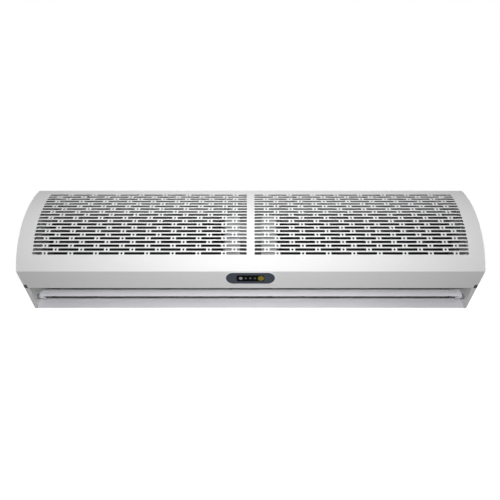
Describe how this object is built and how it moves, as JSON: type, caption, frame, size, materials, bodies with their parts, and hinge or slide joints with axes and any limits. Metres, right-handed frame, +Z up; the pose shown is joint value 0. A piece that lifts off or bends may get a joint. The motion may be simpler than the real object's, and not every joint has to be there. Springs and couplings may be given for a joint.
{
  "type": "air curtain",
  "caption": "Long wall-hung air curtain with a curved slotted intake cover, a pill-shaped display on its lower panel and a swinging vane in its slanted outlet.",
  "frame": {"origin": "middle of the bounding box, on the plane of the flat bottom", "axes": "+X along the casing to the viewer's right, +Y back to the wall, +Z up; the front faces -Y"},
  "size_m": [0.9, 0.19, 0.2475],
  "materials": {
    "white_paint": "smooth satin powder coat",
    "white_plastic": "fine-grained moulded plastic",
    "vane_plastic": "smooth satin plastic",
    "galvanised_sheet": "galvanised sheet",
    "motor_steel": "plated pressing",
    "shaft_steel": "machined",
    "impeller_plastic": "dark glass-filled plastic",
    "dark_plastic": "moulded",
    "slate_plastic": "semi-gloss",
    "black_gloss": "polished",
    "pale_plastic": "satin",
    "smoky_plastic": "smoky clear plastic",
    "gold_button": "olive-gold lacquer",
    "board_green": "solder mask",
    "black_rubber": "moulded rubber"
  },
  "bodies": {
    "casing": {"front_cover": "white_paint", "left_end_cap": "white_plastic", "right_end_cap": "white_plastic", "back_casing": "white_paint", "wall_plate": "galvanised_sheet", "scroll_guide_left": "galvanised_sheet", "scroll_guide_right": "galvanised_sheet", "air_tongue": "galvanised_sheet", "outlet_lip": "white_paint", "vane_bush_left": "dark_plastic", "vane_bush_right": "dark_plastic", "motor_body": "motor_steel", "motor_mount_left": "black_rubber", "motor_mount_right": "black_rubber", "motor_bracket_left": "galvanised_sheet", "motor_bracket_right": "galvanised_sheet", "bearing_bracket_left": "galvanised_sheet", "bearing_bracket_right": "galvanised_sheet", "bearing_left": "shaft_steel", "bearing_right": "shaft_steel", "display_bezel": "slate_plastic", "display_window": "black_gloss", "signal_receiver": "pale_plastic", "indicator_light_guide": "smoky_plastic", "push_switch": "dark_plastic", "control_board": "board_green", "capacitor": "pale_plastic", "capacitor_clip": "galvanised_sheet", "terminal_block": "pale_plastic", "cable_grommet": "black_rubber", "cover_screw_1": "shaft_steel", "cover_screw_2": "shaft_steel", "cover_screw_3": "shaft_steel", "cover_screw_4": "shaft_steel", "motor_bracket_screw_left_1": "shaft_steel", "motor_bracket_screw_left_2": "shaft_steel", "motor_bracket_screw_right_1": "shaft_steel", "motor_bracket_screw_right_2": "shaft_steel", "bearing_bracket_screw_left_1": "shaft_steel", "bearing_bracket_screw_left_2": "shaft_steel", "bearing_bracket_screw_right_1": "shaft_steel", "bearing_bracket_screw_right_2": "shaft_steel"},
    "fan_rotor": {"motor_shaft": "shaft_steel", "impeller_left": "impeller_plastic", "impeller_right": "impeller_plastic", "impeller_hub_left": "black_rubber", "impeller_hub_right": "black_rubber", "end_shaft_left": "shaft_steel", "end_shaft_right": "shaft_steel"},
    "vane": {"vane": "vane_plastic"},
    "power_button": {"power_button": "gold_button"}
  },
  "joints": [
    {"name": "fan_spin", "type": "hinge", "parent": "casing", "child": "fan_rotor", "pos_m": [0, 0.01, 0.15], "axis": [1, 0, 0], "continuous": true},
    {"name": "vane_tilt", "type": "hinge", "parent": "casing", "child": "vane", "pos_m": [0, -0.027, 0.024], "axis": [1, 0, 0], "range_deg": [-25, 25]},
    {"name": "power_button_press", "type": "slide", "parent": "casing", "child": "power_button", "axis": [0, 0.7627, 0.6468], "range_m": [0, 0.0012], "stiffness_N_per_m": 600, "springref_m": -0.0005}
  ]
}
